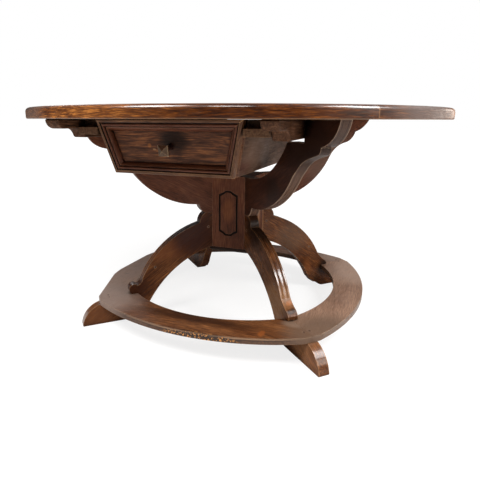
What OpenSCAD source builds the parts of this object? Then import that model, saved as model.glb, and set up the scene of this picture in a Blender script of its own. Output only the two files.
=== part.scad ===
// Round trestle table with a hanging drawer, in millimetres.
// The origin is on the floor under the middle of the top. The drawer opens towards -Y.

/* [Top] */
// Height of the table
table_h = 750; // [700:5:800]
// Diameter of the round top
top_d = 1436; // [1360:2:1500]
// Thickness of the top
top_t = 33; // [26:1:40]
// Rounding of the rim's upper edge
rim_r = 12; // [4:1:16]
// Rounding of the rim's lower edge
rim_low_r = 4; // [1:1:8]
// Width of one plank of the top
plank_w = 248; // [242:1:300]

/* [Battens under the top] */
// Width of a batten
batten_w = 44; // [36:1:52]
// Height of a batten below the top
batten_h = 52; // [46:1:60]
// Length of a batten
batten_l = 1252; // [1180:2:1270]
// Radius of the round nose at a batten's end
batten_nose_r = 26; // [16:1:30]
// Flat stretch between the nose and the cove
batten_flat = 52; // [40:1:80]
// Radius of the cove at a batten's end
batten_cove_r = 28; // [18:1:32]
// Depth of the dovetail that holds a batten in the top
tongue_h = 10; // [5:1:14]
// Width of the dovetail at its root
tongue_w = 24; // [18:1:28]
// Spread of each side of the dovetail
tongue_flare = 3; // [1:0.5:4]

/* [Trestle boards] */
// Thickness of the arms and legs
board_t = 36; // [30:1:42]
// Height at which an arm stands on its leg
joint_h = 376; // [366:1:390]
// Reach of an arm from the middle, along its diagonal
arm_reach = 612; // [600:1:630]
// Extra reach of the front right arm, which is cut broader than the others
broad_reach = 15; // [4:1:24]
// Space between an arm and the batten above it
seat_gap = 11; // [4:1:16]
// Reach of a leg's waist from the middle, where the arm stands on it
waist_s = 139; // [132:1:146]
// Height of a leg's inner end above the floor
leg_inner_h = 241.5; // [225:0.5:255]
// Reach of a foot's heel from the middle
heel_s = 417; // [405:1:430]
// Reach of a foot's toe from the middle
foot_s = 605; // [590:1:625]

/* [Middle of the trestle] */
// Side of the square core post
core_w = 64; // [54:1:72]
// Distance of the carved faces from the middle
block_face = 91.5; // [84:0.5:100]
// Thickness of the tenons on the boards
tenon_t = 14; // [8:1:18]
// Length of the tenons on the boards
tenon_l = 15; // [8:1:17]
// Thickness of the plate under the core
plate_t = 19.5; // [12:0.5:28]
// Bevel around the underside of the plate
plate_bevel = 9; // [3:1:11]
// Half width of the carved panel
panel_half = 37; // [28:1:42]
// Height of the carved panel
panel_h = 171; // [150:1:190]
// Height of the pointed ends of the carved panel
panel_point = 15; // [10:1:20]
// Width of the groove around the carved panel
groove_w = 6; // [2:0.5:7]
// Depth of the groove around the carved panel
groove_d = 4; // [1:0.5:5]

/* [Footrest] */
// Height of the underside of the footrest
rest_h = 75; // [68:1:80]
// Thickness of the footrest
rest_t = 20; // [14:1:26]
// Distance of the outer edge from the middle, halfway along a side
rest_out = 493; // [484:1:502]
// Radius of the outer edge of a side
rest_out_r = 770; // [740:1:800]
// Distance of the inner edge from the middle, halfway along a side
rest_in = 386; // [378:1:394]
// Radius of the inner edge of a side
rest_in_r = 479; // [465:1:500]
// Distance of the clipped corners from the middle
rest_corner = 541; // [534:1:547]
// Distance of the left side's straightened outer edge from the middle
rest_left_out = 486; // [480:1:492]
// Reach of a leg where it passes inside the footrest
rest_seat_s = 428; // [424:1:436]

/* [Drawer] */
// Width of the drawer front at its top
drawer_top_w = 430; // [390:2:450]
// Width of the drawer front at its bottom
drawer_low_w = 357; // [320:1:380]
// Height of the drawer front
drawer_h = 148; // [130:1:160]
// Gap between the drawer front and the top
drawer_gap = 0.5; // [0.4:0.1:4]
// Distance of the drawer front's top edge from the middle
drawer_front_y = 552; // [530:1:575]
// How far the drawer front leans back from its top to its bottom
drawer_lean = 29; // [10:1:40]
// Distance of the back of the drawer behind the middle
drawer_back_y = 60; // [0:1:100]
// Thickness of the drawer front board
front_t = 20; // [14:1:26]
// Thickness of the drawer's sides and back
side_t = 14; // [9:1:20]
// Thickness of the drawer's bottom
bottom_t = 10; // [6:1:14]
// Width of the moulded frame on the drawer front
frame_w = 32; // [24:1:40]
// Thickness of the moulded frame
frame_t = 20; // [14:1:24]

/* [Drawer runners] */
// Gap between the drawer front's edge and a batten
batten_gap = 63; // [50:1:75]
// Thickness of the hanger strips on the drawer
hanger_t = 21; // [16:1:23]
// Distance of the hanger strips' front ends from the middle
hanger_front_y = 520; // [514:1:526]
// Gap between a hanger strip and the batten beside it
hanger_gap = 4; // [1:0.5:8]
// Gap between a runner and the drawer's side
runner_gap = 2.4; // [1:0.1:6]
// Height of a runner
runner_h = 20.5; // [14:0.5:25]
// Distance of the runners' front ends from the middle
runner_front_y = 548; // [530:1:560]
// Running clearance between the hanger strips and the runners
run_clear = 0.3; // [0.2:0.05:0.6]
// Length of the stop blocks behind the hanger strips
stop_l = 26; // [15:1:40]

/* [Knob] */
// Width of the square head of the knob
knob_w = 33; // [22:1:38]
// Height of the pyramid on the knob's head
knob_point = 16; // [8:1:20]
// Thickness of the head behind the pyramid
knob_rim = 4; // [2:1:8]
// Length of the knob's neck
knob_neck = 40; // [28:1:48]
// Radius of the knob's neck
knob_neck_r = 7; // [5:0.5:9]
// Radius of the knob's collar against the drawer
knob_collar_r = 11; // [10:0.5:15]
// Radius of the knob's shank through the drawer front
knob_shank_r = 5; // [3:0.5:6]

/* [Pegs] */
// Radius of the pegs in the legs and the footrest
peg_r = 4.5; // [3:0.5:6]
// Depth of the footrest pegs in the feet
peg_depth = 30; // [15:1:40]
// Radius of the dowels between the arms and the top
dowel_r = 6; // [4:0.5:8]
// Depth of those dowels in the arms
dowel_depth = 28; // [15:1:32]
// Depth of those dowels in the top
dowel_rise = 15; // [8:1:20]

/* [Hidden] */
$fn = 96;
// Diagonal directions of the four corners, in degrees from +X
front_left = 225;
front_right = 315;
back_right = 45;
back_left = 135;
root2 = sqrt(2);
far = 2000;
under_z = table_h - top_t;
plank_count = 6;
// Drawer heights and widths
drawer_top_z = under_z - drawer_gap;
drawer_z = drawer_top_z - drawer_h;
splay = (drawer_top_w - drawer_low_w) / 2 / drawer_h;
lean = drawer_lean / drawer_h;
lean_angle = atan(lean);
hanger_top_gap = 0.5;
hanger_top_z = under_z - hanger_top_gap;
hanger_z = hanger_top_z - hanger_t;
// Half width of the drawer at a height, and the front's outer face at a height
function half_w(z) = drawer_low_w / 2 + (z - drawer_z) * splay;
function face_y(z) = -drawer_front_y + (drawer_top_z - z) * lean;
// Batten and runner places
batten_in = drawer_top_w / 2 + batten_gap;
batten_out = batten_in + batten_w;
batten_mid = batten_in + batten_w / 2;
batten_z = under_z - batten_h;
hanger_out = batten_in - hanger_gap;
runner_in = half_w(hanger_z) + runner_gap;
runner_w = batten_in - runner_in;
runner_top_z = hanger_z - run_clear;
runner_back_y = drawer_back_y + stop_l;
// Heights along the trestle
drawer_room = 53.5;
arm_top_z = drawer_z - drawer_room;
slot_play = 1;
seat_z = batten_z - seat_gap;
seat_s = root2 * batten_in - 1;
stem_s = root2 * batten_mid + 10;
core_half = core_w / 2;
rest_top_z = rest_h + rest_t;
dowel_s = arm_reach - 67;
leg_bend_s = 118;
plate_half = (leg_bend_s - 2) / root2;

// Points along a circular arc from a to b whose middle stands out by sag to the right
function bow(a, b, sag, n = 10) =
    let (c = norm(b - a), d = (b - a) / c, out = [d[1], -d[0]],
         r = (c * c / 4 + sag * sag) / (2 * abs(sag)),
         half = asin(min(1, c / 2 / r)), turn = sag > 0 ? 1 : -1)
    [for (i = [1 : n])
        let (t = -half + 2 * half * i / n)
        (a + b) / 2 + d * r * sin(t) + out * turn * (r * cos(t) - r + abs(sag))];

// Scrolled edge of the usual arm, from its chin to its tip under the top
function usual_edge(chin) =
    let (tip = [arm_reach, under_z], k = arm_reach / 612, hip = tip - k * [195, 151],
         hollow = tip - k * [124, 95], cusp = tip - k * [69, 50])
    concat(bow(chin, hip, 41 * k, 20), bow(hip, hollow, -10 * k, 8),
        bow(hollow, cusp, 10 * k, 8), bow(cusp, tip, 8 * k, 10));

// The same edge of the front right arm
function broad_edge(chin) =
    let (tip = [arm_reach + broad_reach, under_z], k = arm_reach / 612,
         hip = tip - k * [205, 164], neck = tip - k * [185, 144], hollow = tip - k * [128, 106],
         lip = tip - k * [86, 93], cusp = tip - k * [74, 77], step = tip - k * [74, 72])
    concat(bow(chin, hip, 38 * k, 20), [neck], bow(neck, hollow, -5 * k, 6),
        [lip], bow(lip, cusp, 3 * k, 4), [step], bow(step, tip, 16 * k, 12));

// Outline of an arm: reach along the diagonal, then height
function arm_outline(broad) =
    let (waist = [waist_s, joint_h], k = arm_reach / 612, chin = waist + k * [23, 34],
         shoulder = [seat_s, seat_z] - k * [8, 5], bed = [waist_s + 11 * k, arm_top_z])
    concat([[core_half, joint_h], waist], bow(waist, chin, 4.5 * k, 6),
        broad ? broad_edge(chin) : usual_edge(chin),
        [[stem_s, under_z], [stem_s, seat_z], [seat_s, seat_z], shoulder],
        bow(shoulder, bed, -34 * k, 16), [[core_half, arm_top_z]]);

// Edge of a leg just above the footrest: a round bead, a small block or a plain flare
function bead_ankle(p, k) =
    concat([p + [0, k]], bow(p + [0, k], p + k * [7, 18], 2.5 * k, 5),
        bow(p + k * [7, 18], p + k * [-4, 35], 4 * k, 6),
        bow(p + k * [-4, 35], p + k * [-22, 30], 3 * k, 5),
        bow(p + k * [-22, 30], p + k * [-43, 56], -6 * k, 8));
function block_ankle(p, k) =
    concat([p + [0, k], p + k * [4, 3], p + k * [4, 14], p + k * [-7, 28]],
        bow(p + k * [-7, 28], p + k * [-46, 60], -3 * k, 6));
function flare_ankle(p, k) =
    concat([p + [0, k], p + k * [7, 4], p + k * [0, 16]],
        bow(p + k * [0, 16], p + k * [-43, 56], -3 * k, 8));

// Outline of a leg with its foot; low and arch give the low end and the depth of its arch
function leg_outline(low, arch, ankle, k) =
    let (bend = [leg_bend_s, leg_inner_h], heel = [heel_s, 0], calf = heel + k * [-low[0], low[1]],
         notch = heel + k * [-51, 22], ledge = heel + k * [-32, 18], toe_low = [foot_s, 3 * k],
         toe_top = [rest_corner, rest_h], neck = ankle[len(ankle) - 1],
         waist = [waist_s, joint_h], step = waist + k * [46, -46], cheek = waist + k * [20, -38])
    concat([[core_half, leg_inner_h], bend], bow(bend, calf, -arch * k, 16), [notch, ledge],
        bow(ledge, heel, 4 * k, 5), [[foot_s - 2 * k, 0], toe_low],
        bow(toe_low, toe_top, 14.5 * k, 12), [[rest_seat_s, rest_h]], ankle,
        bow(neck, step, 27 * k, 18), [cheek], bow(cheek, waist, 5 * k, 6), [[core_half, joint_h]]);

// Stands an outline upright along a diagonal, with the board's thickness
module upright(angle, outline, t) {
    rotate([0, 0, angle]) rotate([90, 0, 0])
        linear_extrude(height = t, center = true) polygon(outline);
}

// A stub tenon on the inner end of a board
module tenon(angle, z0, z1) {
    rotate([0, 0, angle]) translate([core_half - tenon_l, -tenon_t / 2, z0])
        cube([tenon_l, tenon_t, z1 - z0]);
}

module arm_tenon(angle) { tenon(angle, joint_h + 16, arm_top_z - 16); }
module leg_tenon(angle) { tenon(angle, leg_inner_h + 16, joint_h - 16); }

// Upright peg or dowel holes and pins on the board's centre plane or beside it
module upright_pin(angle, s, side, r, z0, z1) {
    rotate([0, 0, angle]) translate([s, side, z0]) cylinder(r = r, h = z1 - z0);
}

// Pins across a board
module cross_pin(angle, s, z, r) {
    rotate([0, 0, angle]) translate([s, 0, z]) rotate([90, 0, 0])
        cylinder(r = r, h = board_t, center = true);
}

// Places of the pegs across a leg: reach and height
function leg_peg_places() = [[waist_s - 13, joint_h - 56], [heel_s - 80, rest_top_z + 92]];
peg_s = 508;
peg_side = 10;

module dowel(angle) {
    upright_pin(angle, dowel_s, 0, dowel_r, under_z - dowel_depth, under_z + dowel_rise);
}

// Slot in an arm that a batten passes through
module batten_slot(side) {
    translate([side * batten_mid - batten_w / 2 - slot_play, -far, seat_z])
        cube([batten_w + 2 * slot_play, 2 * far, far]);
}

module arm(angle, broad) {
    color("#5a3423") {
        difference() {
            upright(angle, arm_outline(broad), board_t);
            dowel(angle);
            for (side = [-1, 1]) batten_slot(side);
        }
        arm_tenon(angle);
    }
}

module leg(angle, low, arch, ankle) {
    color("#5e3826") {
        difference() {
            upright(angle, leg_outline(low, arch, ankle, leg_scale), board_t);
            for (p = leg_peg_places()) cross_pin(angle, p[0], p[1], peg_r);
            for (side = [-peg_side, peg_side])
                upright_pin(angle, peg_s, side, peg_r, rest_h - peg_depth, rest_h + 1);
        }
        leg_tenon(angle);
    }
}

module leg_pegs() {
    color("#3b2117")
    for (a = [front_left, front_right, back_right, back_left], p = leg_peg_places())
        cross_pin(a, p[0], p[1], peg_r);
}

module footrest_pegs() {
    color("#3b2117")
    for (a = [front_left, front_right, back_right, back_left], side = [-peg_side, peg_side])
        upright_pin(a, peg_s, side, peg_r, rest_h - peg_depth, rest_top_z);
}

module arm_dowels() {
    color("#8a6a48")
    for (a = [front_left, front_right, back_right, back_left]) dowel(a);
}

// Middle of the trestle
module core_post() {
    color("#54301f")
    difference() {
        rotate([0, 0, 45]) translate([-core_half, -core_half, leg_inner_h])
            cube([core_w, core_w, arm_top_z - leg_inner_h]);
        for (a = [front_left, front_right, back_right, back_left]) {
            arm_tenon(a);
            leg_tenon(a);
        }
    }
}

// Outline of the carved panel, grown by a margin
function panel_outline(grow) =
    let (w = panel_half + grow, h = panel_h / 2 + grow, p = panel_point)
    [[-w, p - h], [-w * 0.6, p * 0.55 - h], [-w * 0.3, -h], [w * 0.3, -h], [w * 0.6, p * 0.55 - h],
     [w, p - h], [w, h - p], [w * 0.6, h - p * 0.55], [w * 0.25, h], [-w * 0.25, h],
     [-w * 0.6, h - p * 0.55], [-w, h - p]];

// Wedge that fills the space between two neighbouring boards, seen here at the front
module wedge_block() {
    web = board_t / root2;
    tip = core_half * root2;
    edge = (tip - web) / 2;
    translate([0, 0, leg_inner_h]) linear_extrude(height = arm_top_z - leg_inner_h)
        polygon([[web - block_face, -block_face], [block_face - web, -block_face],
                 [edge, edge - tip], [0, -tip], [-edge, edge - tip]]);
}

module carved_block() {
    panel_z = leg_inner_h + 48 + panel_h / 2;
    color("#66402a")
    difference() {
        wedge_block();
        translate([0, groove_d - block_face, panel_z]) rotate([90, 0, 0])
            linear_extrude(height = groove_d + 1) difference() {
                polygon(panel_outline(0));
                polygon(panel_outline(-groove_w));
            }
    }
}

module block_front() { carved_block(); }
module block_back() { rotate([0, 0, 180]) carved_block(); }
module block_left() { color("#5a3423") rotate([0, 0, -90]) wedge_block(); }
module block_right() { color("#5a3423") rotate([0, 0, 90]) wedge_block(); }

// Square plate with a bevelled underside, below the inner ends of the legs
module plate_section() {
    rotate([90, 0, 0]) linear_extrude(height = 2 * plate_half, center = true)
        polygon([[-plate_half, leg_inner_h], [-plate_half, leg_inner_h - plate_t + plate_bevel],
                 [plate_bevel - plate_half, leg_inner_h - plate_t],
                 [plate_half - plate_bevel, leg_inner_h - plate_t],
                 [plate_half, leg_inner_h - plate_t + plate_bevel], [plate_half, leg_inner_h]]);
}

module base_plate() {
    color("#3f2418")
    intersection() {
        plate_section();
        rotate([0, 0, 90]) plate_section();
    }
}

// One side of the footrest, seen here at the front, with its mitred ends on two feet
module footrest_side(angle) {
    leg_play = 0.2;
    color("#5b3a2c")
    rotate([0, 0, angle]) difference() {
        translate([0, 0, rest_h]) linear_extrude(height = rest_t) difference() {
            intersection() {
                translate([0, rest_out_r - rest_out]) circle(r = rest_out_r, $fn = 360);
                polygon([[0, 0], [-far, -far], [far, -far]]);
                polygon([[0, 0], [-rest_corner * root2, 0], [0, -rest_corner * root2],
                         [rest_corner * root2, 0]]);
            }
            translate([0, rest_in_r - rest_in]) circle(r = rest_in_r, $fn = 360);
            for (a = [front_left, front_right]) rotate(a)
                translate([0, -board_t / 2 - leg_play])
                    square([rest_seat_s + leg_play, board_t + 2 * leg_play]);
        }
        for (a = [front_left, front_right], side = [-peg_side, peg_side])
            upright_pin(a, peg_s, side, peg_r, 0, table_h);
    }
}

module footrest_front() { footrest_side(0); }
module footrest_right() { footrest_side(90); }
module footrest_back() { footrest_side(180); }

// The left side is dressed straight, and clipped towards its front end
module footrest_left() {
    clip_from = [-rest_left_out + 2, -142];
    clip_to = [-rest_left_out + 95, -374];
    slope = (clip_to - clip_from) / norm(clip_to - clip_from);
    intersection() {
        footrest_side(270);
        linear_extrude(height = far) polygon([clip_from - far * slope, clip_from + far * slope,
            [far, -far], [far, far]]);
        translate([-rest_left_out, -far, 0]) cube([far, 2 * far, far]);
    }
}

leg_scale = foot_s / 605;
rest_point = [rest_seat_s, rest_top_z];
flare = flare_ankle(rest_point, leg_scale);
module arm_front_left() { arm(front_left, false); }
module arm_front_right() { arm(front_right, true); }
module arm_back_left() { arm(back_left, false); }
module arm_back_right() { arm(back_right, false); }
module leg_front_left() { leg(front_left, [54, 55], 31, bead_ankle(rest_point, leg_scale)); }
module leg_front_right() { leg(front_right, [66, 60], 29, block_ankle(rest_point, leg_scale)); }
module leg_back_left() { leg(back_left, [74, 48], 33, flare); }
module leg_back_right() { leg(back_right, [74, 48], 33, flare); }

// Section of the dovetail on a batten
function tongue_outline() =
    [[-tongue_w / 2, under_z - 1], [tongue_w / 2, under_z - 1], [tongue_w / 2, under_z],
     [tongue_w / 2 + tongue_flare, under_z + tongue_h],
     [-tongue_w / 2 - tongue_flare, under_z + tongue_h], [-tongue_w / 2, under_z]];

module tongue(x) {
    tongue_l = batten_l - 2 * (batten_nose_r + batten_flat);
    translate([x, 0, 0]) rotate([90, 0, 0])
        linear_extrude(height = tongue_l, center = true) polygon(tongue_outline());
}

// Outline of one end of a batten, from the top round to the underside
function batten_end() =
    let (tip = [batten_l / 2, under_z], chin = tip - [batten_nose_r, batten_nose_r],
         flat = chin - [batten_flat, 0],
         foot_z = max(flat[1] - batten_cove_r, batten_z + 2),
         cove = [flat[0] - batten_cove_r, foot_z])
    concat([tip], bow(tip, chin, -0.293 * batten_nose_r, 8), [flat],
        bow(flat, cove, 0.25 * (flat[1] - foot_z), 8), [[cove[0] - 5, batten_z]]);

module batten_face() {
    end = batten_end();
    polygon(concat(end, [for (i = [len(end) - 1 : -1 : 0]) [-end[i][0], end[i][1]]]));
}

module batten(side) {
    color("#4c2c1e") {
        translate([side * batten_mid, 0, 0]) rotate([90, 0, 90])
            linear_extrude(height = batten_w, center = true) batten_face();
        tongue(side * batten_mid);
    }
}

module batten_left() { batten(-1); }
module batten_right() { batten(1); }

// The whole top before it is parted into planks
module top_disc() {
    r = top_d / 2;
    low = [r - rim_low_r, under_z];
    up = [r, table_h - rim_r];
    rotate_extrude($fn = 360)
        polygon(concat([[0, under_z], low], bow(low, [r, under_z + rim_low_r], 0.293 * rim_low_r, 3),
            [up], bow(up, [r - rim_r, table_h], 0.293 * rim_r, 6), [[0, table_h]]));
}

// Plank number i, counted from the front
module plank(i) {
    y0 = i == 1 ? -far : (i - 1 - plank_count / 2) * plank_w;
    y1 = i == plank_count ? far : (i - plank_count / 2) * plank_w;
    color(i % 2 == 0 ? "#7a4a26" : "#83512b")
    difference() {
        intersection() {
            top_disc();
            translate([-far, y0, 0]) cube([2 * far, y1 - y0, far]);
        }
        for (side = [-1, 1]) tongue(side * batten_mid);
        for (a = [front_left, front_right, back_right, back_left]) dowel(a);
    }
}

module top_plank_1() { plank(1); }
module top_plank_2() { plank(2); }
module top_plank_3() { plank(3); }
module top_plank_4() { plank(4); }
module top_plank_5() { plank(5); }
module top_plank_6() { plank(6); }

// Runners on the inner faces of the battens
module runner(side) {
    color("#6d4a33")
    translate([side > 0 ? runner_in : -batten_in, -runner_front_y, runner_top_z - runner_h])
        cube([runner_w, runner_front_y + runner_back_y, runner_h]);
}

module runner_left() { runner(-1); }
module runner_right() { runner(1); }

module drawer_stops() {
    stop_h = hanger_t - 4;
    color("#6d4a33")
    for (side = [-1, 1])
        translate([side > 0 ? runner_in : -batten_in, drawer_back_y + run_clear, runner_top_z])
            cube([runner_w, stop_l - run_clear, stop_h]);
}

// Everything between two leaning faces behind the front's outer face
module leaning_slab(behind_0, behind_1, z0, z1) {
    rotate([90, 0, 90]) linear_extrude(height = 2 * far, center = true)
        polygon([[face_y(z0) + behind_0, z0], [face_y(z0) + behind_1, z0],
                 [face_y(z1) + behind_1, z1], [face_y(z1) + behind_0, z1]]);
}

// Tapered outline of the drawer, seen from the front, drawn in by an inset
function hopper_outline(inset) =
    let (z0 = drawer_z + inset, z1 = drawer_top_z - inset, w0 = half_w(z0) - inset, w1 = half_w(z1) - inset)
    [[-w0, z0], [w0, z0], [w1, z1], [-w1, z1]];

module through(outline) {
    rotate([90, 0, 0]) linear_extrude(height = 2 * far, center = true) polygon(outline);
}

module knob_axis(out) {
    knob_z = (drawer_z + drawer_top_z) / 2 + 3;
    translate([0, face_y(knob_z) + frame_t, knob_z]) rotate([90 + lean_angle, 0, 0])
        translate([0, 0, out]) children();
}

module drawer_front() {
    color("#6b4432")
    difference() {
        intersection() {
            leaning_slab(frame_t, frame_t + front_t, drawer_z, drawer_top_z);
            through(hopper_outline(0));
        }
        knob_axis(-2 * front_t) cylinder(r = knob_shank_r, h = 3 * front_t);
    }
}

// The moulded frame steps down towards the field in three layers
module frame_layers() {
    steps = [[0, 0.3, 0.34], [0.3, 0.65, 0.68], [0.65, 1, 1]];
    for (s = steps) intersection() {
        leaning_slab(frame_t * s[0], frame_t * s[1], drawer_z, drawer_top_z);
        difference() {
            through(hopper_outline(0));
            through(hopper_outline(frame_w * s[2]));
        }
    }
}

// One mitred length of the frame, between two corners of the outline
module frame_piece(a, b) {
    outer = hopper_outline(0);
    inner = hopper_outline(frame_w);
    color("#5d3626")
    intersection() {
        frame_layers();
        through([outer[a], outer[b], inner[b], inner[a]]);
    }
}

module frame_bottom() { frame_piece(0, 1); }
module frame_right() { frame_piece(1, 2); }
module frame_top() { frame_piece(2, 3); }
module frame_left() { frame_piece(3, 0); }

// Splayed side board: outer face flush with the front's end
module drawer_side(side) {
    color("#6a4a3a")
    difference() {
        intersection() {
            through([[side * half_w(drawer_z), drawer_z], [side * half_w(hanger_z), hanger_z],
                     [side * (half_w(hanger_z) - side_t), hanger_z],
                     [side * (half_w(drawer_z) - side_t), drawer_z]]);
            behind_front();
        }
        for (y = hanger_peg_rows()) hanger_peg(side, y);
    }
}

// Space behind the drawer front, up to the drawer's back
module behind_front() {
    in = frame_t + front_t;
    rotate([90, 0, 90]) linear_extrude(height = 2 * far, center = true)
        polygon([[face_y(drawer_z) + in, drawer_z], [drawer_back_y, drawer_z],
                 [drawer_back_y, drawer_top_z], [face_y(drawer_top_z) + in, drawer_top_z]]);
}

module drawer_side_left() { drawer_side(-1); }
module drawer_side_right() { drawer_side(1); }

// Space between the inner faces of the two sides, from z0 to z1
module between_sides(z0, z1) {
    through([[side_t - half_w(z0), z0], [half_w(z0) - side_t, z0],
             [half_w(z1) - side_t, z1], [side_t - half_w(z1), z1]]);
}

module drawer_bottom() {
    color("#7b5a43")
    intersection() {
        between_sides(drawer_z, drawer_z + bottom_t);
        behind_front();
        translate([-far, -far, 0]) cube([2 * far, far + drawer_back_y - side_t, far]);
    }
}

module drawer_back() {
    color("#6a4a3a")
    intersection() {
        between_sides(drawer_z, hanger_z);
        translate([-far, drawer_back_y - side_t, 0]) cube([2 * far, side_t, far]);
    }
}

// Flat strips on top of the sides that hang on the runners
hanger_in = half_w(hanger_z) - side_t;
hanger_peg_r = 3;
hanger_peg_deep = 20;
hanger_peg_x = half_w(hanger_z) - side_t / 2 - hanger_peg_deep * splay / 2;

module hanger_peg(side, y) {
    translate([side * hanger_peg_x, y, hanger_z - hanger_peg_deep])
        cylinder(r = hanger_peg_r, h = hanger_t + hanger_peg_deep);
}

function hanger_peg_rows() =
    let (y0 = 80 - hanger_front_y, y1 = drawer_back_y - 60)
    [for (i = [0 : 2]) y0 + (y1 - y0) * i / 2];

module hanger(side) {
    w = hanger_out - hanger_in;
    front_room = drawer_top_w + 2;
    color("#6d4a33")
    difference() {
        translate([side > 0 ? hanger_in : -hanger_out, -hanger_front_y, hanger_z])
            cube([w, hanger_front_y + drawer_back_y, hanger_t]);
        translate([-front_room / 2, -far, 0])
            cube([front_room, far + face_y(hanger_z) + frame_t + front_t, far]);
        for (y = hanger_peg_rows()) hanger_peg(side, y);
    }
}

module hanger_left() { hanger(-1); }
module hanger_right() { hanger(1); }

module hanger_pegs() {
    color("#3b2117")
    for (side = [-1, 1], y = hanger_peg_rows()) hanger_peg(side, y);
}

// Knob with a square pyramid head on a round neck, held by a wedge inside the drawer
wedge_w = 6;
wedge_t = 5;
shank_end = 12;

module knob_wedge_shape() {
    knob_axis(-front_t - wedge_t) translate([-2 * knob_shank_r, -wedge_w / 2, 0])
        cube([4 * knob_shank_r, wedge_w, wedge_t]);
}

module drawer_knob() {
    color("#8a6c4c")
    difference() {
        knob_axis(0) {
            translate([0, 0, -front_t - shank_end]) cylinder(r = knob_shank_r, h = front_t + shank_end);
            cylinder(r = knob_collar_r, h = 4);
            cylinder(r = knob_neck_r, h = knob_neck);
            translate([-knob_w / 2, -knob_w / 2, knob_neck]) cube([knob_w, knob_w, knob_rim]);
            intersection() {
                knob_ridge();
                rotate([0, 0, 90]) knob_ridge();
            }
        }
        knob_wedge_shape();
    }
}

module knob_ridge() {
    base = knob_neck + knob_rim;
    rotate([90, 0, 0]) linear_extrude(height = knob_w, center = true)
        polygon([[-knob_w / 2, base], [knob_w / 2, base], [0, base + knob_point]]);
}

module knob_wedge() { color("#8a6a48") knob_wedge_shape(); }

top_plank_1();
top_plank_2();
top_plank_3();
top_plank_4();
top_plank_5();
top_plank_6();
batten_left();
batten_right();
arm_dowels();
arm_front_left();
arm_front_right();
arm_back_left();
arm_back_right();
leg_front_left();
leg_front_right();
leg_back_left();
leg_back_right();
core_post();
block_front();
block_back();
block_left();
block_right();
base_plate();
footrest_front();
footrest_back();
footrest_left();
footrest_right();
footrest_pegs();
leg_pegs();
runner_left();
runner_right();
drawer_stops();
drawer_front();
drawer_side_left();
drawer_side_right();
drawer_back();
drawer_bottom();
frame_top();
frame_bottom();
frame_left();
frame_right();
hanger_left();
hanger_right();
hanger_pegs();
drawer_knob();
knob_wedge();
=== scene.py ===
import math

import bmesh
import bpy
from mathutils import Matrix, Vector


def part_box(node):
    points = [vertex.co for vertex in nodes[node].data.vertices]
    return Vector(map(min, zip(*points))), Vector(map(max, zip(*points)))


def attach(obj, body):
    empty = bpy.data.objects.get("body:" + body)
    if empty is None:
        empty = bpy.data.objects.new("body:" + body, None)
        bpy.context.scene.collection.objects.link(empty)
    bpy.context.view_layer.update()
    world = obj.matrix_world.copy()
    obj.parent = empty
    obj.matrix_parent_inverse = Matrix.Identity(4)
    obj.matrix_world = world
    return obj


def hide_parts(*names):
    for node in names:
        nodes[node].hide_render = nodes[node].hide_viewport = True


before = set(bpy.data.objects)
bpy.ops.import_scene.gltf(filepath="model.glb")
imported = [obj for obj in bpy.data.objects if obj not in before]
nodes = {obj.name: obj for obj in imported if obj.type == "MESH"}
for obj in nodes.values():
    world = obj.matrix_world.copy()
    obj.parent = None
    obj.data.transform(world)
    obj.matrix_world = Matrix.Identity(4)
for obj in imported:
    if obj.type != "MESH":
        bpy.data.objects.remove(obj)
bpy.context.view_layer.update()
scene = bpy.context.scene

# Round trestle table of old polished oak, with a drawer that hangs under its top

MM = 0.001
X, Y, Z = (1, 0, 0), (0, 1, 0), (0, 0, 1)
PLANKS = 6

# Sizes and places that the frame gives
JOINTS = [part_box("top_plank_%d" % (i + 1))[1].y for i in range(PLANKS - 1)]
TABLE_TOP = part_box("top_plank_1")[1].z
BLOCK_FACE = -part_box("block_front")[0].y
REST_LOW, REST_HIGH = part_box("footrest_front")[0].z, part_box("footrest_front")[1].z
DRAWER_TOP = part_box("frame_top")[1].z
DRAWER_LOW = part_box("frame_bottom")[0].z
TOP_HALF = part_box("frame_top")[1].x
LOW_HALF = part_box("frame_bottom")[1].x
FRONT_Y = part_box("frame_top")[0].y

# Camera at the photograph's viewing angle

CAMERA_PLACE = (0.5581, -1.5396, 0.7169)
CAMERA_TURN = (75.9558, -0.1205, 21.5548)
CAMERA_SHIFT = (0.0316, -0.0298)

camera = bpy.data.objects.new("camera", bpy.data.cameras.new("camera"))
camera.data.sensor_width = 36
camera.data.lens = 31.92
camera.data.shift_x, camera.data.shift_y = CAMERA_SHIFT
camera.location = CAMERA_PLACE
camera.rotation_euler = [math.radians(angle) for angle in CAMERA_TURN]
scene.collection.objects.link(camera)
scene.camera = camera
scene.view_settings.view_transform = "Standard"

# Trestle boards: the angle at which each leaves the middle

CORNERS = {"front_left": 225, "front_right": 315, "back_right": 45, "back_left": 135}


def along(corner):
    """Unit vector from the middle towards a corner."""
    a = math.radians(CORNERS[corner])
    return Vector((math.cos(a), math.sin(a), 0))


def across(corner):
    """Unit vector square to a board's faces."""
    a = math.radians(CORNERS[corner])
    return Vector((-math.sin(a), math.cos(a), 0))


def on_board(corner, s, z, side=0.0):
    """Place on a board: reach along its diagonal, height and offset to the side, in millimetres."""
    spot = along(corner) * s * MM + across(corner) * side * MM
    return (spot.x, spot.y, z * MM)


def board_grain(corner, rise):
    """Direction that climbs by an angle away from the middle."""
    a = math.radians(rise)
    return tuple(along(corner) * math.cos(a) + Vector(Z) * math.sin(a))


# Shader helpers


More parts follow.
